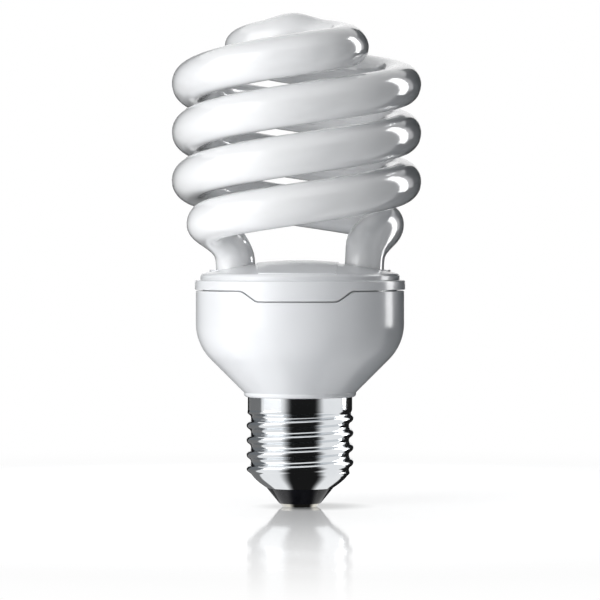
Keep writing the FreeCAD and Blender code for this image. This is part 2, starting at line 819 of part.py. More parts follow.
def bar(start, end, width):
    """A straight wire of square section between two points."""
    a, b = Vector(*start), Vector(*end)
    heading = (b - a).normalize()
    side = Vector(0, 0, 1).cross(heading)
    if side.Length < 0.01:
        side = Vector(1, 0, 0)
    side = side.normalize() * (width / 2)
    across = heading.cross(side)
    corners = [a + side + across, a - side + across, a - side - across, a + side - across]
    return Part.Face(Part.makePolygon(corners + [corners[0]])).extrude(b - a)


def wrap_posts():
    top = board_z + board_thick
    posts = []
    for side in (1, -1):
        for front in (1, -1):
            posts.append(block(post_width, post_width, post_height, side * leg_x, front * post_y, top))
    return Part.makeCompound(posts)


def electrode_leads(side):
    """Two lead wires from the pinch, each wound in a small square coil on its post."""
    coil_z = pinch_bottom_z - post_coil_height + lead_sink
    wire_z = coil_z + electrode_wire / 2
    solids = []
    x = side * leg_x
    for front in (1, -1):
        coil_width = post_width + 2 * post_coil
        coil = block(coil_width, coil_width, post_coil_height, x, front * post_y, coil_z)
        coil = coil.cut(block(post_width, post_width, 4 * post_coil_height, x, front * post_y, coil_z - 1))
        near_y = front * (electrode_y - electrode_wire / 2)
        far_y = front * (post_y - post_width / 2 - post_coil / 2)
        top = (x, front * electrode_y, pinch_bottom_z)
        down = bar(top, (x, front * electrode_y, coil_z), electrode_wire)
        across = bar((x, near_y, wire_z), (x, far_y, wire_z), electrode_wire)
        solids.append(coil.fuse([down, across]).removeSplitter())
    return Part.makeCompound(solids)


def live_wire():
    """From the contact's eyelet up through the neck to the board."""
    start = (0, 0, contact_dish + solder_rise)
    low_bend = (0, 0, supply_bend_low_z)
    high_bend = (supply_x, supply_y, supply_bend_high_z)
    return rod([start, low_bend, high_bend, (supply_x, supply_y, board_z)], supply_wire_r)


def neutral_wire():
    """From the board down past the neck's end, then up between the neck and the shell."""
    gap_r = neck_r + neutral_wire_r + skin_gap
    turn = math.atan2(-supply_y, supply_x)
    out_x = gap_r * math.cos(turn)
    out_y = gap_r * math.sin(turn)
    low = neck_bottom_z - 2 * neutral_wire_r
    path = [(supply_x, -supply_y, board_z), (supply_x, -supply_y, low)]
    path += [(out_x, out_y, low), (out_x, out_y, low + neutral_tail)]
    return rod(path, neutral_wire_r)


parts = {
    "discharge_tube": discharge_tube(),
    "top_cover": top_cover(),
    "housing_cup": housing_cup(),
    "screw_shell": screw_shell(),
    "cap_insulator": cap_insulator(),
    "centre_contact": centre_contact(),
    "contact_solder": contact_solder(),
    "tube_cement_left": tube_cement(-1),
    "tube_cement_right": tube_cement(1),
    "circuit_board": circuit_board(),
    "bulk_capacitor": bulk_capacitor(),
    "choke_core_upper": choke_core(True),
    "choke_core_lower": choke_core(False),
    "choke_bobbin": choke_bobbin(),
    "choke_winding": choke_winding(),
    "transistor_rear": transistor(1),
    "transistor_front": transistor(-1),
    "drive_ring_core": drive_core(),
    "drive_winding_1": drive_winding(0),
    "drive_winding_2": drive_winding(1),
    "drive_winding_3": drive_winding(2),
    "filter_drum_core": drum_core(),
    "filter_drum_winding": drum_winding(),
    "resonant_capacitor": film_capacitor(*spots["resonant_capacitor"]),
    "coupling_capacitor": film_capacitor(*spots["coupling_capacitor"]),
    "snubber_capacitor": disc_part(snubber_r, snubber_thick, *spots["snubber_capacitor"]),
    "thermistor": disc_part(thermistor_r, thermistor_thick, *spots["thermistor"]),
    "fusible_resistor": axial_part(fusible_r, fusible_length, *spots["fusible_resistor"], True),
    "diac": axial_part(diac_r, diac_length, *spots["diac"], False),
    "start_resistor": axial_part(resistor_r, resistor_length, *spots["start_resistor"], False),
    "base_resistor_1": axial_part(resistor_r, resistor_length, *spots["base_resistor_1"], False),
    "base_resistor_2": axial_part(resistor_r, resistor_length, *spots["base_resistor_2"], False),
    "rectifier_diode_1": axial_part(diode_r, diode_length, *spots["rectifier_diode_1"], True),
    "rectifier_diode_2": axial_part(diode_r, diode_length, *spots["rectifier_diode_2"], True),
    "rectifier_diode_3": axial_part(diode_r, diode_length, *spots["rectifier_diode_3"], True),
    "rectifier_diode_4": axial_part(diode_r, diode_length, *spots["rectifier_diode_4"], True),
    "wrap_posts": wrap_posts(),
    "electrode_leads_left": electrode_leads(-1),
    "electrode_leads_right": electrode_leads(1),
    "live_wire": live_wire(),
    "neutral_wire": neutral_wire(),
}

os.makedirs("parts", exist_ok=True)
for name, shape in parts.items():
    shape.exportStep("parts/" + name + ".step")
    print(name, shape.isValid(), round(shape.Volume, 1), len(shape.Solids))
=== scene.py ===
import math

import bmesh
import bpy
from mathutils import Matrix, Vector


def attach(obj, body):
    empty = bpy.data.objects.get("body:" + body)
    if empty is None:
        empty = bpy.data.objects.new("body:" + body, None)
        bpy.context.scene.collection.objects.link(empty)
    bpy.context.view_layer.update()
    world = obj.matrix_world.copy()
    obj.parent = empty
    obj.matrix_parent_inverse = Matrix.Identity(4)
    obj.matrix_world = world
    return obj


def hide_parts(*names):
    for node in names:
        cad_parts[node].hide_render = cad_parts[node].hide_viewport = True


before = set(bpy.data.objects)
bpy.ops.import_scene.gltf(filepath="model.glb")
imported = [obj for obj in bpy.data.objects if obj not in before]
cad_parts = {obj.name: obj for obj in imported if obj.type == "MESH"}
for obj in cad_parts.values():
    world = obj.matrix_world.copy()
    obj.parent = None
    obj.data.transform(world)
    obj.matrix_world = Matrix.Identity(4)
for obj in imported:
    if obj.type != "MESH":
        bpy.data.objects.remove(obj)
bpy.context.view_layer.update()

# Camera: level with the middle of the lamp, on its front, far enough off for a long portrait lens. As in the
# photograph, the lamp's axis is at mid width and its foot about a sixth of the way up the frame.
CAMERA_DISTANCE = 0.900
CAMERA_HEIGHT = 0.0658
AIM_HEIGHT = 0.0508
SENSOR_MM = 36
FRAME_WIDTH_AT_LAMP = 0.1476

camera_data = bpy.data.cameras.new("photo_camera")
camera_data.sensor_width = SENSOR_MM
camera_data.lens = SENSOR_MM * CAMERA_DISTANCE / FRAME_WIDTH_AT_LAMP
camera = bpy.data.objects.new("photo_camera", camera_data)
bpy.context.collection.objects.link(camera)
camera.location = (0, -CAMERA_DISTANCE, CAMERA_HEIGHT)
aim = Vector((0, 0, AIM_HEIGHT)) - camera.location
camera.rotation_euler = aim.to_track_quat("-Z", "Y").to_euler()
bpy.context.scene.camera = camera

# Discharge tube: one length of soda glass, bent hot round a drum into two strands of a spiral that join over
# the top in an S with a swollen cold spot. White phosphor coats it inside, so it looks like white enamel
# under clear glass. Its two legs end in flat pinches, cemented in the cover. Sizes here are in millimetres.
MM = 0.001
TUBE_R = 5.05
LEG_R = 4.85
LEG_X = 15.8
LEG_TOP_Z = 61.0
LEG_GROWTH = 6.0
ELBOW_RISE = 8.0
ELBOW_RUN = 16.4
COIL_R = 25.75
COIL_PITCH = 23.8
COIL_START_Z = 68.2
COIL_FIRST = math.radians(50)
COIL_LAST = math.radians(630)
CROWN_SWELL = 0.4
CROWN_SWELL_REACH = 19.0
COLD_SPOT = 0.62
COLD_SPOT_REACH = 8.2
SPIRAL_DRIFT = 0.85
SPIRAL_DRIFT_RISE = 7.0
CROWN_DRIFT = 0.8
CROWN_DRIFT_RISE = 9.0
PINCH_BOTTOM_Z = 48.4
PINCH_HEIGHT = 3.4
PINCH_HALF_WIDTH = 4.6
PINCH_HALF_THICK = 1.5
TUBE_SIDES = 48
RING_STEP = 1.1
EASING_ROUNDS = 6
SHARP_DEGREES = 35
GRAIN_DETAIL = 3


def smooth_step(share):
    share = min(1.0, max(0.0, share))
    return share * share * (3 - 2 * share)


def hump(height, reach, distance):
    """A smooth swelling that is gone at its reach."""
    return height * math.cos(math.pi / 2 * min(1.0, distance / reach)) ** 2


def coil_point(angle):
    """A place on the coil, at this angle from where its first turn would start."""
    height = COIL_START_Z + COIL_PITCH * angle / math.tau
    return Vector((COIL_R * math.cos(angle), COIL_R * math.sin(angle), height))


def strand_line():
    """One strand's centreline, from its pinched end to the crown of the bridge."""
    leg_steps, elbow_steps, coil_steps, bridge_steps = 12, 24, 240, 36
    line = []
    for i in range(leg_steps):
        line.append(Vector((LEG_X, 0, PINCH_BOTTOM_Z + (LEG_TOP_Z - PINCH_BOTTOM_Z) * i / leg_steps)))
    slope = COIL_PITCH / (math.tau * COIL_R)
    foot = Vector((LEG_X, 0, LEG_TOP_Z))
    join = coil_point(COIL_FIRST)
    heading = Vector((-math.sin(COIL_FIRST), math.cos(COIL_FIRST), slope)).normalized()
    up = foot + Vector((0, 0, ELBOW_RISE))
    back = join - heading * ELBOW_RUN
    for i in range(elbow_steps):
        t = i / elbow_steps
        line.append(
            foot * (1 - t) ** 3 + up * 3 * t * (1 - t) ** 2 + back * 3 * t * t * (1 - t) + join * t**3
        )
    for i in range(coil_steps):
        line.append(coil_point(COIL_FIRST + (COIL_LAST - COIL_FIRST) * i / coil_steps))
    top = coil_point(COIL_LAST).z
    across = Vector((math.cos(COIL_LAST), math.sin(COIL_LAST), 0))
    onward = Vector((-math.sin(COIL_LAST), math.cos(COIL_LAST), 0))
    half = math.pi * COIL_R / 4
    for i in range(bridge_steps + 1):
        angle = math.pi * i / bridge_steps
        run = 2 * half * i / bridge_steps
        level = slope * min(run, half)
        if run > half:
            level += slope * (run - half) * (1 - (run - half) / (2 * half))
        place = across * (COIL_R / 2 * (1 + math.cos(angle))) + onward * (COIL_R / 2 * math.sin(angle))
        line.append(place + Vector((0, 0, top + level)))
    return line


def whole_line():
    """Both strands' centreline in even steps, with the joins between its stretches eased."""
    first = strand_line()
    line = first + [Vector((-p.x, -p.y, p.z)) for p in reversed(first[:-1])]
    run = [0.0]
    for a, b in zip(line, line[1:]):
        run.append(run[-1] + (b - a).length)
    count = round(run[-1] / RING_STEP)
    even, at = [], 0
    for i in range(count + 1):
        goal = run[-1] * i / count
        while at < len(run) - 2 and run[at + 1] < goal:
            at += 1
        share = (goal - run[at]) / (run[at + 1] - run[at])
        even.append(line[at].lerp(line[at + 1], share))
    for _ in range(EASING_ROUNDS):
        eased = [even[0]]
        for a, b, c in zip(even, even[1:], even[2:]):
            eased.append(b * 0.5 + (a + c) * 0.25)
        even = eased + [even[-1]]
    return even


def ring_matrix(centre, heading, side, radius):
    """Brings a unit circle to its place, turn and size on the tube's line."""
    across = heading.cross(side)
    turn = Matrix((side, across, heading)).transposed().to_4x4()
    return Matrix.Translation(centre) @ turn @ Matrix.Scale(radius, 4)


def spiral_mesh():
    """The tube drawn ring by ring along its line, then pinched at its ends and drifted like the real one."""
    line = whole_line()
    length = RING_STEP * (len(line) - 1)
    bm = bmesh.new()
    side = Vector((1, 0, 0))
    placed = None
    for i, centre in enumerate(line):
        heading = (line[min(i + 1, len(line) - 1)] - line[max(i - 1, 0)]).normalized()
        side = (side - heading * side.dot(heading)).normalized()
        from_crown = abs(i / (len(line) - 1) - 0.5) * length
        bump = hump(CROWN_SWELL, CROWN_SWELL_REACH, from_crown) + hump(COLD_SPOT, COLD_SPOT_REACH, from_crown)
        radius = LEG_R + (TUBE_R - LEG_R) * smooth_step((centre.z - LEG_TOP_Z) / LEG_GROWTH) + bump
        matrix = ring_matrix(centre + Vector((0, 0, bump)), heading, side, radius)
        if placed is None:
            ring = bmesh.ops.create_circle(bm, segments=TUBE_SIDES, radius=1, matrix=matrix, cap_ends=True)
            edges = list({e for v in ring["verts"] for e in v.link_edges})
        else:
            grown = bmesh.ops.extrude_edge_only(bm, edges=edges)["geom"]
            edges = [g for g in grown if isinstance(g, bmesh.types.BMEdge)]
            verts = [g for g in grown if isinstance(g, bmesh.types.BMVert)]
            bmesh.ops.transform(bm, matrix=matrix @ placed.inverted(), verts=verts)
        placed = matrix
    bmesh.ops.contextual_create(bm, geom=edges)
    for vert in bm.verts:
        pinched = 1 - smooth_step((vert.co.z - PINCH_BOTTOM_Z) / PINCH_HEIGHT)
        leg = math.copysign(LEG_X, vert.co.x)
        vert.co.x = leg + (vert.co.x - leg) * (1 + (PINCH_HALF_THICK / LEG_R - 1) * pinched)
        vert.co.y *= 1 + (PINCH_HALF_WIDTH / LEG_R - 1) * pinched
        vert.co.x -= SPIRAL_DRIFT * smooth_step((vert.co.z - LEG_TOP_Z) / SPIRAL_DRIFT_RISE)
        vert.co.x -= CROWN_DRIFT * smooth_step((vert.co.z - coil_point(COIL_LAST).z) / CROWN_DRIFT_RISE)
    bmesh.ops.recalc_face_normals(bm, faces=bm.faces)
    return bm


def shade(bm, sharp_degrees):
    """Smooth faces, with every edge that turns more than this left sharp."""
    for face in bm.faces:
        face.smooth = True
    for edge in bm.edges:
        edge.smooth = edge.calc_face_angle(0) < math.radians(sharp_degrees)


def as_object(bm, name, sharp_degrees=SHARP_DEGREES):
    """An object in metres from a mesh drawn in millimetres."""
    bmesh.ops.scale(bm, vec=(MM, MM, MM), verts=bm.verts)
    shade(bm, sharp_degrees)
    mesh = bpy.data.meshes.new(name)
    bm.to_mesh(mesh)
    bm.free()
    piece = bpy.data.objects.new(name, mesh)
    bpy.context.collection.objects.link(piece)
    return piece


def new_material(name, **values):
    """A material with its shader's own sockets set, and its nodes, links and shader."""
    material = bpy.data.materials.new(name)
    material.use_nodes = True
    nodes, links = material.node_tree.nodes, material.node_tree.links
    shader = nodes["Principled BSDF"]
    for socket, value in values.items():
        shader.inputs[socket.replace("_", " ")].default_value = value
    return material, nodes, links, shader


def add_grain(nodes, links, shader, scale, strength, distance):
    """Fine relief from a noise on the piece's own coordinates, which it returns for the tint."""
    place = nodes.new("ShaderNodeTexCoord")
    noise = nodes.new("ShaderNodeTexNoise")
    noise.inputs["Scale"].default_value = scale
    noise.inputs["Detail"].default_value = GRAIN_DETAIL
    bump = nodes.new("ShaderNodeBump")
    bump.inputs["Strength"].default_value = strength
    bump.inputs["Distance"].default_value = distance
    links.new(place.outputs["Object"], noise.inputs["Vector"])
    links.new(noise.outputs["Fac"], bump.inputs["Height"])
    links.new(bump.outputs["Normal"], shader.inputs["Normal"])
    return place


def add_tint(nodes, links, shader, place, scale, first, second):
    """Slow change between two close colours over the piece."""
    noise = nodes.new("ShaderNodeTexNoise")
    noise.inputs["Scale"].default_value = scale
    ramp = nodes.new("ShaderNodeValToRGB")
    ramp.color_ramp.elements[0].position = 0.35
    ramp.color_ramp.elements[1].position = 0.65
    ramp.color_ramp.elements[0].color = (*first, 1)
    ramp.color_ramp.elements[1].color = (*second, 1)
    links.new(place.outputs["Object"], noise.inputs["Vector"])
    links.new(noise.outputs["Fac"], ramp.inputs["Fac"])
    links.new(ramp.outputs["Color"], shader.inputs["Base Color"])


def put_on(piece, material, node):
    """Finishes a piece and sets it on the body in the place of its CAD node."""
    piece.data.materials.append(material)
    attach(piece, "root")
    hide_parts(node)


glass, nodes, links, shader = new_material(
    "phosphor_coated_glass", Roughness=0.18, IOR=1.5, Coat_Weight=1.0, Coat_Roughness=0.04, Coat_IOR=1.52
)
place = add_grain(nodes, links, shader, scale=260, strength=0.05, distance=0.0002)
add_tint(nodes, links, shader, place, 45, (0.92, 0.925, 0.935), (0.94, 0.945, 0.95))

tube = as_object(spiral_mesh(), "spiral_tube")
put_on(tube, glass, "discharge_tube")

# Domed cover: an injection moulding of flame-proof white plastic that carries the tube's legs in two collars.
# Its spigot snaps into the cup with a bead, its skirt sits over the seam, and a tab at the front and the back
# comes down over the cup. The tab stays bare. A raised land crosses the dome between the legs.
SEAM_Z = 53.1
SEAM_GAP = 0.3
CUP_R = 25.6
CUP_WALL = 1.6
COVER_R = 25.85
COVER_STEP_RISE = 2.6
COVER_STEP_Z = SEAM_Z + COVER_STEP_RISE
COVER_EDGE = 0.3
RIM_INSET = 1.35
RIM_R = COVER_R - RIM_INSET
RIM_EDGE_R = 0.6
DOME_TOP_Z = 60.3
DOME_R = 100.0
DOME_STEPS = 24
INNER_DOME_STEPS = 12
COVER_WALL = 1.6
SKIRT_ROW_RISE = 1.0
LAND_RISE = 0.3
LAND_HALF_MIDDLE = 10.1
LAND_HALF_RIM = 9.3
LAND_OFFSET = -0.6
LAND_NEAR = 0.1
SPIGOT_PLAY = 0.15
SPIGOT_WALL = 1.2
SPIGOT_R = CUP_R - CUP_WALL - SPIGOT_PLAY
SPIGOT_IN = SPIGOT_R - SPIGOT_WALL
SPIGOT_BOTTOM_Z = 46.8
BEAD_DROP = 4.2
BEAD_Z = SEAM_Z - BEAD_DROP
BEAD_PROUD = 0.3
BEAD_HALF = 0.5
TAB_DEPTH = 2.25
TAB_HALF = 9.75
TAB_FLARE = 3.5
TAB_ROUND = 2.3
TAB_OFFSET = -0.75
LEG_PLAY = 0.4
LEG_HOLE_R = LEG_R + LEG_PLAY
HOLE_PAST = 1
COLLAR_WALL = 1.2
COLLAR_R = LEG_HOLE_R + COLLAR_WALL
COLLAR_BOTTOM_Z = 52.0
ROD_SIDES = 96
EDGE_BREAK = 0.1
WELD = 1e-4


def arc(centre, radius, start_degrees, end_degrees, steps):
    """Points of a profile's arc, in (r, z)."""
    points = []
    for i in range(steps + 1):
        turn = math.radians(start_degrees + (end_degrees - start_degrees) * i / steps)
        points.append((centre[0] + radius * math.cos(turn), centre[1] + radius * math.sin(turn)))
    return points


def straight(start, end, steps):
    """Points of a profile's straight run, without its last."""
    run, rise = end[0] - start[0], end[1] - start[1]
    return [(start[0] + run * i / steps, start[1] + rise * i / steps) for i in range(steps)]


def spun(profile, stretches, closed=False):
    """A profile turned about the axis in stretches of (degrees, steps), finer where a stretch needs it."""
    bm = bmesh.new()
    verts = [bm.verts.new((r, 0, z)) for r, z in profile]
    ends = verts[1:] + verts[:1] if closed else verts[1:]
    last = verts + [bm.edges.new(pair) for pair in zip(verts, ends)]
    for degrees, steps in stretches:
        turned = bmesh.ops.spin(
            bm, geom=last, cent=(0, 0, 0), axis=(0, 0, 1), dvec=(0, 0, 0),
            angle=math.radians(degrees), steps=steps, use_merge=False,
        )
        last = turned["geom_last"]
    bmesh.ops.remove_doubles(bm, verts=bm.verts, dist=WELD)
    bmesh.ops.recalc_face_normals(bm, faces=bm.faces)
    return bm


def tab_edge_z(x, gap):
    """Height of the seam's line at this place across the front: straight, or down round the tab."""
    low = SEAM_Z - TAB_DEPTH - gap
    top = SEAM_Z + SEAM_GAP - gap
    steep = math.atan2(TAB_DEPTH + SEAM_GAP, TAB_FLARE)
    half = TAB_HALF + gap * math.tan(steep / 2)
    off = abs(x - TAB_OFFSET)
    low_round, top_round = TAB_ROUND + gap, TAB_ROUND - gap
    low_from = half - low_round * math.tan(steep / 2)
    top_from = half + TAB_FLARE + top_round * math.tan(steep / 2)
    if off <= low_from:
        return low
    if off >= top_from:
        return top
    if off < low_from + low_round * math.sin(steep):
        return low + low_round - math.sqrt(low_round**2 - (off - low_from) ** 2)
    if off > top_from - top_round * math.sin(steep):
        return top - top_round + math.sqrt(top_round**2 - (top_from - off) ** 2)
    return low + (off - half) * math.tan(steep)


def lower_to_tab(bm, flat_z, gap, reach):
    """Brings the ring edge that lies at flat_z down along the tab's outline, front and back."""
    for vert in bm.verts:
        if abs(vert.co.z - flat_z) < reach:
            vert.co.z += tab_edge_z(vert.co.x, gap) - flat_z


# Stretches of (degrees, steps) from the lamp's right round by its back, finest over the two tabs.
FINE_TAB_STRETCHES = [(54, 36), (72, 180), (108, 72), (72, 180), (54, 36)]


def dome_z(r, radius, top):
    """Height of a dome of this radius and top, at a distance from the axis."""
    return top - radius + math.sqrt(radius**2 - r**2)


def cover_profile():
    """The cover's section from the dome's top out and down its skirt and spigot, and back under the dome."""
    brow_r = RIM_R - RIM_EDGE_R
    points = []
    for i in range(DOME_STEPS):
        r = brow_r * i / DOME_STEPS
        points.append((r, dome_z(r, DOME_R, DOME_TOP_Z)))
    brow_z = dome_z(brow_r, DOME_R, DOME_TOP_Z)
    lean = math.degrees(math.asin(brow_r / DOME_R))
    brow_centre = (brow_r - RIM_EDGE_R * math.sin(math.radians(lean)), brow_z - RIM_EDGE_R)
    points += arc(brow_centre, RIM_EDGE_R, 90 - lean, 0, 6)
    points[-1] = (RIM_R, brow_z - RIM_EDGE_R)
    points += [(RIM_R, COVER_STEP_Z + EDGE_BREAK), (RIM_R + EDGE_BREAK, COVER_STEP_Z)]
    points += arc((COVER_R - COVER_EDGE, COVER_STEP_Z - COVER_EDGE), COVER_EDGE, 90, 0, 5)
    skirt_z = SEAM_Z + SEAM_GAP
    points += [(COVER_R, skirt_z + SKIRT_ROW_RISE), (COVER_R, skirt_z + EDGE_BREAK)]
    points += [(COVER_R - EDGE_BREAK, skirt_z), (SPIGOT_R, skirt_z)]
    points += [(SPIGOT_R, BEAD_Z + BEAD_HALF), (SPIGOT_R + BEAD_PROUD, BEAD_Z)]
    points += [(SPIGOT_R, BEAD_Z - BEAD_HALF), (SPIGOT_R, SPIGOT_BOTTOM_Z), (SPIGOT_IN, SPIGOT_BOTTOM_Z)]
    for i in range(INNER_DOME_STEPS + 1):
        r = SPIGOT_IN * (1 - i / INNER_DOME_STEPS)
        points.append((r, dome_z(r, DOME_R - COVER_WALL, DOME_TOP_Z - COVER_WALL)))
    return points


def land_half(y):
    """Half the land's width at this distance towards the front or the back."""
    return LAND_HALF_MIDDLE + (LAND_HALF_RIM - LAND_HALF_MIDDLE) * abs(y) / RIM_R


def raise_land(bm):
    """Cuts the land's two sides into the dome's top and lifts what lies between them."""
    def on_top(face):
        middle = face.calc_center_median()
        r = math.hypot(middle.x, middle.y)
        return r < RIM_R - RIM_EDGE_R and abs(middle.z - dome_z(r, DOME_R, DOME_TOP_Z)) < LAND_NEAR
    for front in (1, -1):
        for side in (1, -1):
            faces = [f for f in bm.faces if on_top(f) and f.calc_center_median().y * front > 0]
            edges = list({e for f in faces for e in f.edges})
            verts = list({v for f in faces for v in f.verts})
            parts = faces + edges + verts
            middle = Vector((LAND_OFFSET + side * LAND_HALF_MIDDLE, 0, 0))
            rim = Vector((LAND_OFFSET + side * LAND_HALF_RIM, front * RIM_R, 0))
            cut_normal = (rim - middle).cross(Vector((0, 0, 1))).normalized()
            bmesh.ops.bisect_plane(bm, geom=parts, dist=WELD, plane_co=middle, plane_no=cut_normal)
    inside = []
    for face in bm.faces:
        middle = face.calc_center_median()
        if on_top(face) and abs(middle.x - LAND_OFFSET) < land_half(middle.y):
            inside.append(face)
    raised = bmesh.ops.extrude_face_region(bm, geom=inside)["geom"]
    lifted = [g for g in raised if isinstance(g, bmesh.types.BMVert)]
    bmesh.ops.translate(bm, vec=(0, 0, LAND_RISE), verts=lifted)
    bmesh.ops.delete(bm, geom=inside, context="FACES_ONLY")


def rod(name, radius, low, high, x):
    """An upright cylinder beside the axis, as a tool to cut with or a boss to add."""
    bm = bmesh.new()
    at = Matrix.Translation((x, 0, (low + high) / 2))
    bmesh.ops.create_cone(
        bm, cap_ends=True, segments=ROD_SIDES, radius1=radius, radius2=radius, depth=high - low, matrix=at
    )
    return as_object(bm, name)


def combine(piece, tools, operation):
    """Joins the tools to the piece, or cuts them out of it, and leaves one clean mesh."""
    for tool in tools:
        step = piece.modifiers.new("step", "BOOLEAN")
        step.object = tool
        step.operation = operation
        step.solver = "EXACT"
    bpy.context.view_layer.update()
    graph = bpy.context.evaluated_depsgraph_get()
    finished = bpy.data.meshes.new_from_object(piece.evaluated_get(graph))
    piece.modifiers.clear()
    bm = bmesh.new()
    bm.from_mesh(finished)
    bmesh.ops.remove_doubles(bm, verts=bm.verts, dist=WELD * MM)
    shade(bm, SHARP_DEGREES)
    bm.to_mesh(finished)
    bm.free()
    piece.data = finished
    for tool in tools:
        bpy.data.objects.remove(tool)


cover_bm = spun(cover_profile(), FINE_TAB_STRETCHES)
lower_to_tab(cover_bm, SEAM_Z + SEAM_GAP, 0.0, EDGE_BREAK * 1.5)
raise_land(cover_bm)
cover = as_object(cover_bm, "domed_cover")
collar_top = dome_z(LEG_X, DOME_R, DOME_TOP_Z) - COVER_WALL / 2
collars = [rod("collar", COLLAR_R, COLLAR_BOTTOM_Z, collar_top, side * LEG_X) for side in (1, -1)]
combine(cover, collars, "UNION")
hole_low, hole_high = COLLAR_BOTTOM_Z - HOLE_PAST, DOME_TOP_Z + HOLE_PAST
leg_holes = [rod("hole", LEG_HOLE_R, hole_low, hole_high, side * LEG_X) for side in (1, -1)]
combine(cover, leg_holes, "DIFFERENCE")

white, nodes, links, shader = new_material(
    "white_moulding", Roughness=0.24, IOR=1.5, Coat_Weight=0.35, Coat_Roughness=0.10
)
place = add_grain(nodes, links, shader, scale=900, strength=0.03, distance=0.0001)
add_tint(nodes, links, shader, place, 30, (0.85, 0.86, 0.88), (0.875, 0.885, 0.90))
put_on(cover, white, "top_cover")

# Housing cup: the lower moulding of the same white plastic, a bowl on a cone that holds the circuit board.
# Its mouth has the groove for the cover's bead, four ribs carry the board, and a lipped neck takes the cap.
CAP_HEIGHT = 27.0
CUP_BLEND_R = 12.5
LIP_R = 13.8
LIP_HEIGHT = 1.1
LIP_ROUND = 0.7
NECK_R = 11.1
NECK_BORE_R = 9.9
NECK_BOTTOM_Z = 18.5
NECK_SEAT_R = 12.4
NECK_SEAT_Z = 24.2
GROOVE_HALF = 0.7
SIDE_ROW_Z = BEAD_Z + 0.9
RIB_DIRECTIONS = (45, 135, 225, 315)
RIB_REACH = 2.6
RIB_ROOT = 0.8
RIB_WIDTH = 2.0
RIB_HEIGHT = 7.0
BOARD_Z = 45.2


def bowl_side(inset):
    """The bowl's side from its cone's foot up to the top of its blend, in (r, z)."""
    centre_r = CUP_R - CUP_BLEND_R
    centre_z = centre_r - (LIP_R - CAP_HEIGHT - LIP_HEIGHT) + CUP_BLEND_R * math.sqrt(2)
    blend_r = CUP_BLEND_R - inset
    blend = arc((centre_r, centre_z), blend_r, -45, 0, 16)
    foot_r = NECK_BORE_R if inset else LIP_R
    foot = (foot_r, blend[0][1] - (blend[0][0] - foot_r))
    return straight(foot, blend[0], 14) + blend


def cup_profile():
    """The cup's section up its outside, over its mouth and groove, down its inside and round its neck."""
    outer = bowl_side(0.0)
    inner = bowl_side(CUP_WALL)
    wall_r = CUP_R - CUP_WALL
    points = outer + straight(outer[-1], (CUP_R, SIDE_ROW_Z), 6)[1:]
    points += [(CUP_R, SIDE_ROW_Z), (CUP_R, SEAM_Z - EDGE_BREAK), (CUP_R - EDGE_BREAK, SEAM_Z)]
    points += [(wall_r + EDGE_BREAK, SEAM_Z), (wall_r, SEAM_Z - EDGE_BREAK), (wall_r, BEAD_Z + GROOVE_HALF)]
    points += [(wall_r + BEAD_PROUD, BEAD_Z + GROOVE_HALF), (wall_r + BEAD_PROUD, BEAD_Z - GROOVE_HALF)]
    points += [(wall_r, BEAD_Z - GROOVE_HALF)] + inner[::-1]
    points += [(NECK_BORE_R, NECK_BOTTOM_Z), (NECK_R, NECK_BOTTOM_Z), (NECK_R, NECK_SEAT_Z)]
    points += [(NECK_SEAT_R, NECK_SEAT_Z), (NECK_SEAT_R, CAP_HEIGHT)]
    points += arc((LIP_R - LIP_ROUND, CAP_HEIGHT + LIP_ROUND), LIP_ROUND, -90, 0, 6)
    return points


cup_bm = spun(cup_profile(), FINE_TAB_STRETCHES, closed=True)
lower_to_tab(cup_bm, SEAM_Z, SEAM_GAP, EDGE_BREAK * 1.5)
cup = as_object(cup_bm, "ballast_cup")
rib_low = BOARD_Z - RIB_HEIGHT
rib_in = CUP_R - CUP_WALL - RIB_REACH
side = [(r, z) for r, z in bowl_side(CUP_WALL - RIB_ROOT) if z > rib_low]
outline = [(rib_in, BOARD_Z), (rib_in, rib_low), (side[0][0], rib_low)] + side + [(side[-1][0], BOARD_Z)]
ribs = []
for direction in RIB_DIRECTIONS:
    bm = bmesh.new()
    face = bm.faces.new([bm.verts.new((r, -RIB_WIDTH / 2, z)) for r, z in outline])
    grown = bmesh.ops.extrude_face_region(bm, geom=[face])["geom"]
    moved = [g for g in grown if isinstance(g, bmesh.types.BMVert)]
    bmesh.ops.translate(bm, vec=(0, RIB_WIDTH, 0), verts=moved)
    bmesh.ops.recalc_face_normals(bm, faces=bm.faces)
    turn = Matrix.Rotation(math.radians(direction), 4, "Z")
    bmesh.ops.transform(bm, matrix=turn, verts=bm.verts)
    ribs.append(as_object(bm, "rib"))
combine(cup, ribs, "UNION")
put_on(cup, white, "housing_cup")

# Screw shell: brass strip, drawn to a cup, rolled with the round thread of the lamp holder and plated with
# bright nickel. It is open at its mouth for the insulator and pressed over the cup's neck at its top.
THREAD_CREST_R = 13.15
THREAD_PITCH = 3.629
THREAD_ARC_R = 1.025
THREAD_DEPTH = 2 * THREAD_ARC_R * (1 - math.cos(math.asin(THREAD_PITCH / 4 / THREAD_ARC_R)))
THREAD_START_Z = 7.4
THREAD_END_Z = 22.2
THREAD_FADE = 1.7
THREAD_CREST_Z = 10.9
SHELL_WALL = 0.3
SHELL_BAND_R = 12.85
SHELL_MOUTH_R = 8.2
SHELL_MOUTH_Z = 4.6
SHOULDER_TOP_Z = 8.8
SHELL_SIDES = 128
SHELL_ROWS = 140


def thread_wave(turns):
    """Height over the thread's root, with turns measured from a crest."""
    off = abs((turns + 0.5) % 1 - 0.5) * THREAD_PITCH
    if off < THREAD_PITCH / 4:
        return THREAD_DEPTH - THREAD_ARC_R + math.sqrt(THREAD_ARC_R**2 - off**2)
    off = THREAD_PITCH / 2 - off
    return THREAD_ARC_R - math.sqrt(THREAD_ARC_R**2 - off**2)


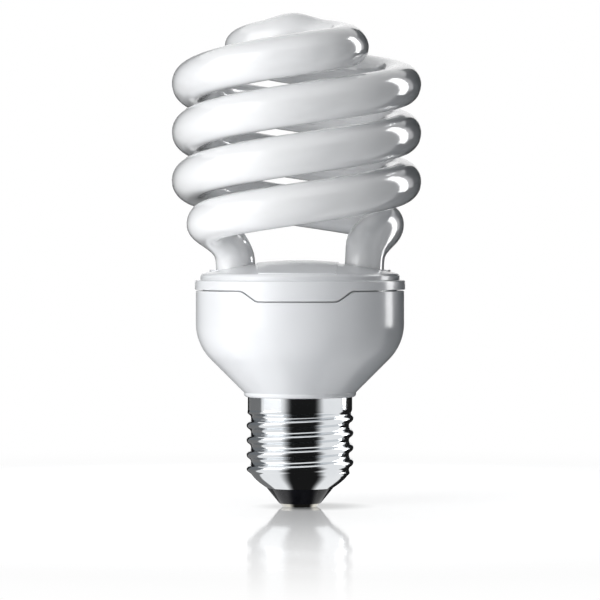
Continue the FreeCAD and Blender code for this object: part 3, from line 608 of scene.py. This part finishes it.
def shoulder_r(z):
    """The shell's radius where it draws in below the thread to its mouth."""
    share = min(1.0, max(0.0, (z - SHELL_MOUTH_Z) / (SHOULDER_TOP_Z - SHELL_MOUTH_Z)))
    return SHELL_MOUTH_R + (THREAD_CREST_R - THREAD_DEPTH - SHELL_MOUTH_R) * math.sin(math.pi / 2 * share)


def shell_r(angle, z):
    """The shell's outside radius: its shoulder, then the thread, then the plain band over the neck."""
    crest_z = THREAD_CREST_Z + THREAD_PITCH * angle / math.tau
    threaded = THREAD_CREST_R - THREAD_DEPTH + thread_wave((z - crest_z) / THREAD_PITCH)
    top_share = smooth_step((z - THREAD_END_Z) / THREAD_FADE)
    low_share = smooth_step((z - THREAD_START_Z) / THREAD_FADE)
    radius = threaded * (1 - top_share) + SHELL_BAND_R * top_share
    return shoulder_r(z) * (1 - low_share) + radius * low_share


shell_bm = bmesh.new()
ring = bmesh.ops.create_circle(shell_bm, segments=SHELL_SIDES, radius=1)["verts"]
edges = list({e for v in ring for e in v.link_edges})
for row in range(SHELL_ROWS + 1):
    height = SHELL_MOUTH_Z + (CAP_HEIGHT - SHELL_MOUTH_Z) * row / SHELL_ROWS
    if row:
        grown = bmesh.ops.extrude_edge_only(shell_bm, edges=edges)["geom"]
        edges = [g for g in grown if isinstance(g, bmesh.types.BMEdge)]
        ring = [g for g in grown if isinstance(g, bmesh.types.BMVert)]
    for vert in ring:
        angle = math.atan2(vert.co.y, vert.co.x) % math.tau
        radius = shell_r(angle, height)
        vert.co = (radius * math.cos(angle), radius * math.sin(angle), height)
bmesh.ops.recalc_face_normals(shell_bm, faces=shell_bm.faces)
if shell_bm.faces[0].normal.dot(shell_bm.faces[0].calc_center_median()) < 0:
    bmesh.ops.reverse_faces(shell_bm, faces=shell_bm.faces)
bmesh.ops.solidify(shell_bm, geom=shell_bm.faces[:], thickness=SHELL_WALL)
shell = as_object(shell_bm, "threaded_shell", sharp_degrees=50)

nickel, nodes, links, shader = new_material("nickel_plate", Metallic=1.0, Roughness=0.10)
place = add_grain(nodes, links, shader, scale=500, strength=0.04, distance=0.0001)
add_tint(nodes, links, shader, place, 160, (0.71, 0.735, 0.76), (0.76, 0.78, 0.80))
put_on(shell, nickel, "screw_shell")

# Insulator: black glass, melted into the shell's mouth round the centre contact. It sets in a hollow-sided
# cone with a glossy fire-polished skin and a flange inside the shell.
CONTACT_R = 4.0
CONTACT_DISH = 0.8
CONTACT_RIM_R = 5.1
CONTACT_PLATE = 0.4
CONTACT_BEND = 0.5
CONTACT_HOLE_R = 0.8
CAP_FIT = 0.1
INSULATOR_BORE_R = 1.4
INSULATOR_FLANGE_Z = 7.6
INSULATOR_HOLLOW = 0.1
INSULATOR_NECK = 0.6
LATHE = [(360, 128)]


def through_three(start, middle, end, steps):
    """Points along the curve through three points of a profile."""
    points = []
    for i in range(steps + 1):
        t = i / steps
        near, far, between = (1 - t) * (1 - 2 * t), t * (2 * t - 1), 4 * t * (1 - t)
        points.append(tuple(a * near + b * between + c * far for a, b, c in zip(start, middle, end)))
    return points


rest_z = CONTACT_DISH + CONTACT_PLATE
slope_r = (CONTACT_RIM_R + SHELL_MOUTH_R) / 2 + INSULATOR_HOLLOW
slope_z = (CONTACT_DISH + SHELL_MOUTH_Z) / 2 + INSULATOR_HOLLOW
cone = through_three((CONTACT_RIM_R, CONTACT_DISH), (slope_r, slope_z), (SHELL_MOUTH_R, SHELL_MOUTH_Z), 12)
neck = SHELL_MOUTH_R - SHELL_WALL - CAP_FIT
flange_r = shoulder_r(INSULATOR_FLANGE_Z) - SHELL_WALL - CAP_FIT
insulator_profile = [(INSULATOR_BORE_R, rest_z), (CONTACT_RIM_R, rest_z)] + cone
insulator_profile += [(neck, SHELL_MOUTH_Z), (neck, SHELL_MOUTH_Z + INSULATOR_NECK)]
insulator_profile += [(flange_r, INSULATOR_FLANGE_Z)]
insulator_profile += [(INSULATOR_BORE_R, INSULATOR_FLANGE_Z)]
insulator = as_object(spun(insulator_profile, LATHE, closed=True), "glass_insulator")
vitrite, nodes, links, shader = new_material("black_vitrite", Roughness=0.10, Specular_IOR_Level=0.3)
place = add_grain(nodes, links, shader, scale=350, strength=0.06, distance=0.0002)
add_tint(nodes, links, shader, place, 220, (0.009, 0.009, 0.012), (0.018, 0.018, 0.022))
put_on(insulator, vitrite, "cap_insulator")

# Centre contact: a dished brass disc, pressed, with its eyelet up through the insulator for the live wire.
# The molten insulator sets round its rim and holds it. The lamp stands on its flat in the photograph.
EYELET_TOP_Z = CONTACT_DISH + 2.4
ROUND_START, ROUND_MIDDLE, ROUND_END = (-0.2, 0), (0.05, 0.04), (0.25, 0.2)
rim = CONTACT_RIM_R - CAP_FIT
eyelet_r = INSULATOR_BORE_R - CAP_FIT
contact_profile = [(CONTACT_HOLE_R, 0), (CONTACT_R - CONTACT_BEND, 0)]
contact_profile += through_three(*((CONTACT_R + r, z) for r, z in (ROUND_START, ROUND_MIDDLE, ROUND_END)), 4)
contact_profile += [(rim, CONTACT_DISH), (rim, rest_z), (CONTACT_R, rest_z)]
contact_profile += [(CONTACT_R - CONTACT_BEND, CONTACT_PLATE), (eyelet_r, CONTACT_PLATE)]
contact_profile += [(eyelet_r, EYELET_TOP_Z), (CONTACT_HOLE_R, EYELET_TOP_Z)]
contact = as_object(spun(contact_profile, LATHE, closed=True), "contact_dish")
brass, nodes, links, shader = new_material("contact_plate", Metallic=1.0, Roughness=0.24)
place = add_grain(nodes, links, shader, scale=700, strength=0.1, distance=0.0002)
add_tint(nodes, links, shader, place, 400, (0.55, 0.53, 0.48), (0.64, 0.61, 0.53))
put_on(contact, brass, "centre_contact")

# Solder: a drop of tin in the contact's eyelet, melted in from below. It holds the live wire and sets with a
# low round skin.
SOLDER_TOP_Z = CONTACT_DISH + 2.0
SOLDER_SINK = 0.12
SOLDER_STEPS = 8
solder_profile = [(0, 0)]
for i in range(1, SOLDER_STEPS + 1):
    share = i / SOLDER_STEPS
    solder_profile.append((CONTACT_HOLE_R * share, SOLDER_SINK * share**2))
solder_profile += [(CONTACT_HOLE_R, SOLDER_TOP_Z), (0, SOLDER_TOP_Z)]
drop = as_object(spun(solder_profile, [(360, 48)]), "solder_drop")
tin, nodes, links, shader = new_material("bright_solder", Metallic=1.0, Roughness=0.22)
place = add_grain(nodes, links, shader, scale=900, strength=0.2, distance=0.0002)
add_tint(nodes, links, shader, place, 600, (0.55, 0.55, 0.56), (0.68, 0.68, 0.69))
put_on(drop, tin, "contact_solder")

# Lamp cement: a white powder and resin paste, poured round each leg in its collar and baked hard.
# It keeps the shape that the CAD gives it, as the board and its parts do.


def dress(names, material):
    """Gives CAD nodes that keep their shape their finish."""
    for name in names:
        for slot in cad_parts[name].material_slots:
            slot.material = material


def plain_finish(name, first, second, roughness, metallic=0.0, tint_scale=300, grain_scale=900, grain=0.1):
    """A moulded, dipped, fired or metal finish: two close colours and a fine grain."""
    material, nodes, links, shader = new_material(name, Roughness=roughness, Metallic=metallic)
    place = add_grain(nodes, links, shader, scale=grain_scale, strength=grain, distance=0.0002)
    add_tint(nodes, links, shader, place, tint_scale, first, second)
    return material


cement = plain_finish("lamp_cement", (0.78, 0.77, 0.73), (0.86, 0.85, 0.82), 0.8, grain_scale=1500, grain=0.5)
dress(["tube_cement_left", "tube_cement_right"], cement)

# Circuit board: brown paper and phenolic resin, pressed and punched round. It lies on the cup's ribs,
# with the ballast's parts soldered to it.
board = plain_finish(
    "phenolic_board", (0.42, 0.25, 0.10), (0.52, 0.33, 0.15), 0.55, tint_scale=900, grain=0.3
)
dress(["circuit_board"], board)

# Bulk capacitor: an aluminium can in a shrunk black plastic sleeve, rolled in near its rubber end
# and soldered to the board by two leads.
sleeve = plain_finish("shrunk_sleeve", (0.02, 0.02, 0.025), (0.035, 0.035, 0.04), 0.3, tint_scale=120)
dress(["bulk_capacitor"], sleeve)

# Choke: two pressed grey ferrite cores glued leg to leg through a nylon bobbin wound with enamelled copper.
# The small drum, the drive ring and their windings are made the same way.


def wound_copper(name, band_scale, direction):
    """Enamelled copper wire, its turns lying side by side."""
    material, nodes, links, shader = new_material(name, Roughness=0.3, Metallic=0.85)
    place = nodes.new("ShaderNodeTexCoord")
    turns = nodes.new("ShaderNodeTexWave")
    turns.wave_type = "BANDS"
    turns.bands_direction = direction
    turns.inputs["Scale"].default_value = band_scale
    bump = nodes.new("ShaderNodeBump")
    bump.inputs["Strength"].default_value = 0.7
    bump.inputs["Distance"].default_value = 0.0003
    links.new(place.outputs["Object"], turns.inputs["Vector"])
    links.new(turns.outputs["Fac"], bump.inputs["Height"])
    links.new(bump.outputs["Normal"], shader.inputs["Normal"])
    add_tint(nodes, links, shader, place, 500, (0.50, 0.20, 0.08), (0.62, 0.28, 0.12))
    return material


stacked_turns = wound_copper("stacked_turns", 900, "Z")
wrapped_turns = wound_copper("wrapped_turns", 700, "DIAGONAL")
ferrite = plain_finish("grey_ferrite", (0.06, 0.06, 0.065), (0.10, 0.10, 0.105), 0.6, grain=0.3)
coated_ferrite = plain_finish("green_ferrite", (0.05, 0.20, 0.10), (0.08, 0.26, 0.13), 0.45)
nylon = plain_finish("bobbin_nylon", (0.72, 0.69, 0.60), (0.80, 0.77, 0.68), 0.4)
dress(["choke_core_upper", "choke_core_lower", "filter_drum_core"], ferrite)
dress(["choke_bobbin"], nylon)
dress(["choke_winding", "filter_drum_winding"], stacked_turns)
dress(["drive_ring_core"], coated_ferrite)
dress(["drive_winding_1", "drive_winding_2", "drive_winding_3"], wrapped_turns)

# Power transistors and rectifier diodes: silicon chips moulded in black epoxy, on tinned legs that are
# soldered to the board.
epoxy = plain_finish("black_epoxy", (0.015, 0.015, 0.016), (0.03, 0.03, 0.032), 0.5, grain=0.3)
diodes = ["rectifier_diode_" + str(number) for number in (1, 2, 3, 4)]
dress(["transistor_rear", "transistor_front"] + diodes, epoxy)

# Film and ceramic parts: capacitors, thermistor and diac dipped in coloured epoxy that sets glossy,
# and resistors coated or wound on ceramic rods and lacquered. All are soldered to the board.
film = plain_finish("red_film", (0.36, 0.04, 0.03), (0.45, 0.07, 0.05), 0.25)
blue_dip = plain_finish("blue_ceramic", (0.03, 0.11, 0.32), (0.05, 0.16, 0.42), 0.3)
brown_dip = plain_finish("brown_ceramic", (0.16, 0.08, 0.04), (0.24, 0.13, 0.07), 0.5)
green_lacquer = plain_finish("green_lacquer", (0.09, 0.20, 0.11), (0.13, 0.27, 0.15), 0.5)
tan_lacquer = plain_finish("tan_lacquer", (0.50, 0.36, 0.18), (0.60, 0.46, 0.26), 0.4)
dress(["resonant_capacitor", "coupling_capacitor"], film)
dress(["snubber_capacitor", "diac"], blue_dip)
dress(["thermistor"], brown_dip)
dress(["fusible_resistor"], green_lacquer)
dress(["start_resistor", "base_resistor_1", "base_resistor_2"], tan_lacquer)

# Wires: tinned copper posts pressed into the board and electrode leads wrapped round them, a bare
# neutral that runs to the shell, and the live wire in its silicone sleeve.
tinned = plain_finish("tinned_wire", (0.58, 0.58, 0.58), (0.70, 0.70, 0.69), 0.3, metallic=1.0)
silicone = plain_finish("wire_sleeve", (0.70, 0.70, 0.67), (0.78, 0.78, 0.75), 0.55)
dress(["wrap_posts", "electrode_leads_left", "electrode_leads_right", "neutral_wire"], tinned)
dress(["live_wire"], silicone)

# Floor: a pale glossy table that melts into the white of the background and keeps the lamp's soft shadow.
# Round the foot, a little to the right, a painted shadow darkens it. Far from the lamp it is white.
# In reflections, sectors of it are painted dark: black in front and behind, grey on the left.
FLOOR_REACH = 5000
FLOOR_SIDES = 96
FLOOR_COLOUR = (0.80, 0.81, 0.82, 1)
FLOOR_LIFT = 0.97
PAINTED_SHADOW_LIFT = 0.08
PAINTED_SHADOW_X = 0.0035
PAINTED_SHADOW_FROM = 0.005
PAINTED_SHADOW_TO = 0.017
FADE_FROM = 0.05
FADE_TO = 0.20
MIRROR_SHARE = 0.72
MIRROR_GONE_AT = 0.26
MIRROR_ROUGHNESS = 0.06
FRONT_DARK_SECTOR = (-29, 44, 12)
REAR_DARK_SECTOR = (106, 212, 3)
LEFT_GREY_SECTOR = (212, 266, 3)
BLACK_TONE = 0.012
GREY_TONE = 0.20
floor_bm = bmesh.new()
bmesh.ops.create_circle(floor_bm, segments=FLOOR_SIDES, radius=FLOOR_REACH, cap_ends=True)
floor = as_object(floor_bm, "studio_floor")
acrylic, nodes, links, shader = new_material(
    "white_acrylic", Roughness=0.6, Base_Color=FLOOR_COLOUR, Specular_IOR_Level=0.0
)
floor.data.materials.append(acrylic)


def around(degrees, distance, height):
    """A place round the lamp, in degrees to the right of the front."""
    turn = math.radians(degrees)
    return Vector((distance * math.sin(turn), -distance * math.cos(turn), height))


def ramp_between(value, start, end, from_value, to_value):
    """A smooth change of one value into another."""
    ramp = nodes.new("ShaderNodeMapRange")
    ramp.interpolation_type = "SMOOTHSTEP"
    ramp.inputs["From Min"].default_value = start
    ramp.inputs["From Max"].default_value = end
    ramp.inputs["To Min"].default_value = from_value
    ramp.inputs["To Max"].default_value = to_value
    links.new(value, ramp.inputs["Value"])
    return ramp.outputs["Result"]


def both(operation, first, second):
    """The product or the larger of two values."""
    step = nodes.new("ShaderNodeMath")
    step.operation = operation
    links.new(first, step.inputs[0])
    links.new(second, step.inputs[1])
    return step.outputs[0]


def vector_step(operation, vector, fixed=None):
    """One step of vector arithmetic, with a fixed second vector where it takes one."""
    step = nodes.new("ShaderNodeVectorMath")
    step.operation = operation
    links.new(vector, step.inputs[0])
    if fixed is not None:
        step.inputs[1].default_value = fixed
    return step.outputs


def blend(share, first, second):
    """The first shader, with this share of the second."""
    mix = nodes.new("ShaderNodeMixShader")
    links.new(share, mix.inputs["Fac"])
    links.new(first, mix.inputs[1])
    links.new(second, mix.inputs[2])
    return mix.outputs["Shader"]


def glow(strength):
    """An even white light of this strength."""
    emission = nodes.new("ShaderNodeEmission")
    emission.inputs["Strength"].default_value = strength
    return emission.outputs["Emission"]


def within(place, sector):
    """How far a place is within a sector of (from, to, soft edge) in degrees round the lamp, from 0 to 1."""
    start, end, edge = sector
    level = vector_step("MULTIPLY", place, (1, 1, 0))["Vector"]
    heading = vector_step("NORMALIZE", level)["Vector"]
    middle = vector_step("DOT_PRODUCT", heading, around((start + end) / 2, 1, 0))["Value"]
    outside, inside = (math.cos(math.radians((end - start) / 2 + off)) for off in (edge, -edge))
    return ramp_between(middle, outside, inside, 0, 1)


place = nodes.new("ShaderNodeTexCoord").outputs["Object"]
reach = vector_step("LENGTH", place)["Value"]
rays = nodes.new("ShaderNodeLightPath")
camera_ray, glossy_ray = rays.outputs["Is Camera Ray"], rays.outputs["Is Glossy Ray"]
lift = nodes.new("ShaderNodeEmission")
# Painted shadow: the white lift drops round the foot, a little to its right, so the floor darkens there.
painted_shadow_reach = vector_step("DISTANCE", place, (PAINTED_SHADOW_X, 0, 0))["Value"]
painted_shadow_ramp = ramp_between(painted_shadow_reach, PAINTED_SHADOW_FROM, PAINTED_SHADOW_TO, PAINTED_SHADOW_LIFT, FLOOR_LIFT)
links.new(both("MULTIPLY", painted_shadow_ramp, camera_ray), lift.inputs["Strength"])
lit = nodes.new("ShaderNodeAddShader")
links.new(shader.outputs["BSDF"], lit.inputs[0])
links.new(lift.outputs["Emission"], lit.inputs[1])
fade = both("MULTIPLY", ramp_between(reach, FADE_FROM, FADE_TO, 0, 1), camera_ray)
surface = blend(both("MAXIMUM", fade, glossy_ray), lit.outputs["Shader"], glow(1))
mirror = nodes.new("ShaderNodeBsdfGlossy")
mirror.inputs["Roughness"].default_value = MIRROR_ROUGHNESS
mirror_share = both("MULTIPLY", ramp_between(reach, 0, MIRROR_GONE_AT, MIRROR_SHARE, 0), camera_ray)
surface = blend(mirror_share, surface, mirror.outputs["BSDF"])
# Painted reflections: to glossy rays the floor glows black in front and behind, and grey on the left.
for sector, tone in ((FRONT_DARK_SECTOR, BLACK_TONE), (REAR_DARK_SECTOR, BLACK_TONE), (LEFT_GREY_SECTOR, GREY_TONE)):
    surface = blend(both("MULTIPLY", within(place, sector), glossy_ray), surface, glow(tone))
links.new(surface, nodes["Material Output"].inputs["Surface"])

# Background: plain white to the camera and in reflections, and a faint cool fill on the lamp.
FILL_STRENGTH = 0.035
FILL_COLOUR = (0.62, 0.80, 1.0, 1)
BACKDROP_COLOUR = (1, 1, 1, 1)
world = bpy.data.worlds.new("studio")
bpy.context.scene.world = world
world.use_nodes = True
nodes, links = world.node_tree.nodes, world.node_tree.links
for node in list(nodes):
    nodes.remove(node)


def background(colour, strength):
    """An even background of one colour."""
    even = nodes.new("ShaderNodeBackground")
    even.inputs["Color"].default_value = colour
    even.inputs["Strength"].default_value = strength
    return even.outputs["Background"]


rays = nodes.new("ShaderNodeLightPath")
seen = both("MAXIMUM", rays.outputs["Is Camera Ray"], rays.outputs["Is Transmission Ray"])
seen = both("MAXIMUM", seen, rays.outputs["Is Glossy Ray"])
sky = nodes.new("ShaderNodeOutputWorld")
shown = blend(seen, background(FILL_COLOUR, FILL_STRENGTH), background(BACKDROP_COLOUR, 1))
links.new(shown, sky.inputs["Surface"])

# Lamps: a broad softbox on the left front, one above and one behind, and a weak glow off the floor from
# below. Two more show only in reflections: a sheen on the left, and a narrow strip on the right that draws
# the long soft lights down the housing and the turns.
LAMP_AIM_HEIGHT = 0.06


def soft_lamp(name, degrees, distance, height, size, power, glossy=True, diffuse=True):
    """An area lamp round the lamp's foot that the camera doesn't see, in metres and watts."""
    data = bpy.data.lights.new(name, "AREA")
    data.shape = "RECTANGLE"
    data.size, data.size_y = size
    data.energy = power
    lamp = bpy.data.objects.new(name, data)
    bpy.context.collection.objects.link(lamp)
    lamp.location = around(degrees, distance, height)
    aim = Vector((0, 0, LAMP_AIM_HEIGHT)) - lamp.location
    lamp.rotation_euler = aim.to_track_quat("-Z", "Y").to_euler()
    lamp.visible_glossy = glossy
    lamp.visible_diffuse = diffuse
    lamp.visible_camera = False
    return lamp


soft_lamp("left_softbox", -43, 0.65, 0.20, size=(0.45, 0.60), power=4.1, glossy=False)
soft_lamp("left_sheen", -64, 0.65, 0.24, size=(0.58, 0.60), power=1.4, diffuse=False)
soft_lamp("top_softbox", -20, 0.20, 0.75, size=(0.50, 0.50), power=0.5, glossy=False)
soft_lamp("right_strip", 114, 0.50, 0.237, size=(0.14, 0.50), power=1.5, diffuse=False)
soft_lamp("back_fill", 185, 0.60, 0.35, size=(0.60, 0.50), power=2.6, glossy=False)
bounce = soft_lamp("floor_bounce", -45, 0.16, 0.004, size=(0.20, 0.20), power=0.11, glossy=False)
bounce.rotation_euler = (math.pi, 0, 0)

# Flags: upright cards round the lamp that show only in reflections, as a studio sets them beside metal.
# The one in front is black with soft side edges, the two behind are black, and the left one is grey.
FLAG_DISTANCE = 1100
FLAG_TOP = 750
FLAG_STEPS = 24
RIGHT_REAR_FLAG = (134, 166)
LEFT_REAR_FLAG = (194, LEFT_GREY_SECTOR[0])
CARD_COLOUR = (0.9, 0.95, 1, 1)


def flag(name, from_degrees, to_degrees, material):
    """A curved card that stands on the floor from one direction to another."""
    bm = bmesh.new()
    start = around(from_degrees, FLAG_DISTANCE, 0)
    ends = [bm.verts.new((start.x, start.y, height)) for height in (0, FLAG_TOP)]
    bmesh.ops.spin(
        bm, geom=ends + [bm.edges.new(ends)], cent=(0, 0, 0), axis=(0, 0, 1), dvec=(0, 0, 0),
        angle=math.radians(to_degrees - from_degrees), steps=FLAG_STEPS, use_merge=False,
    )
    piece = as_object(bm, name)
    piece.data.materials.append(material)
    piece.visible_camera = False
    piece.visible_diffuse = False
    piece.visible_shadow = False


def card(name, strength):
    """A card of an even tone that no lamp changes."""
    return new_material(
        name, Base_Color=(0, 0, 0, 1), Specular_IOR_Level=0.0,
        Emission_Color=CARD_COLOUR, Emission_Strength=strength,
    )


front_card, nodes, links, shader = card("front_card", BLACK_TONE)
place = nodes.new("ShaderNodeTexCoord").outputs["Object"]
clear = nodes.new("ShaderNodeBsdfTransparent")
shown = blend(within(place, FRONT_DARK_SECTOR), clear.outputs["BSDF"], shader.outputs["BSDF"])
links.new(shown, nodes["Material Output"].inputs["Surface"])
flag("front_flag", FRONT_DARK_SECTOR[0] - FRONT_DARK_SECTOR[2], FRONT_DARK_SECTOR[1] + FRONT_DARK_SECTOR[2], front_card)
black_card, grey_card = card("black_card", BLACK_TONE)[0], card("grey_card", GREY_TONE)[0]
flag("right_rear_flag", *RIGHT_REAR_FLAG, black_card)
flag("left_rear_flag", *LEFT_REAR_FLAG, black_card)
flag("left_flag", LEFT_GREY_SECTOR[0], LEFT_GREY_SECTOR[1], grey_card)

# View: the plain transform, so that white stays white as in the photograph.
bpy.context.scene.view_settings.view_transform = "Standard"
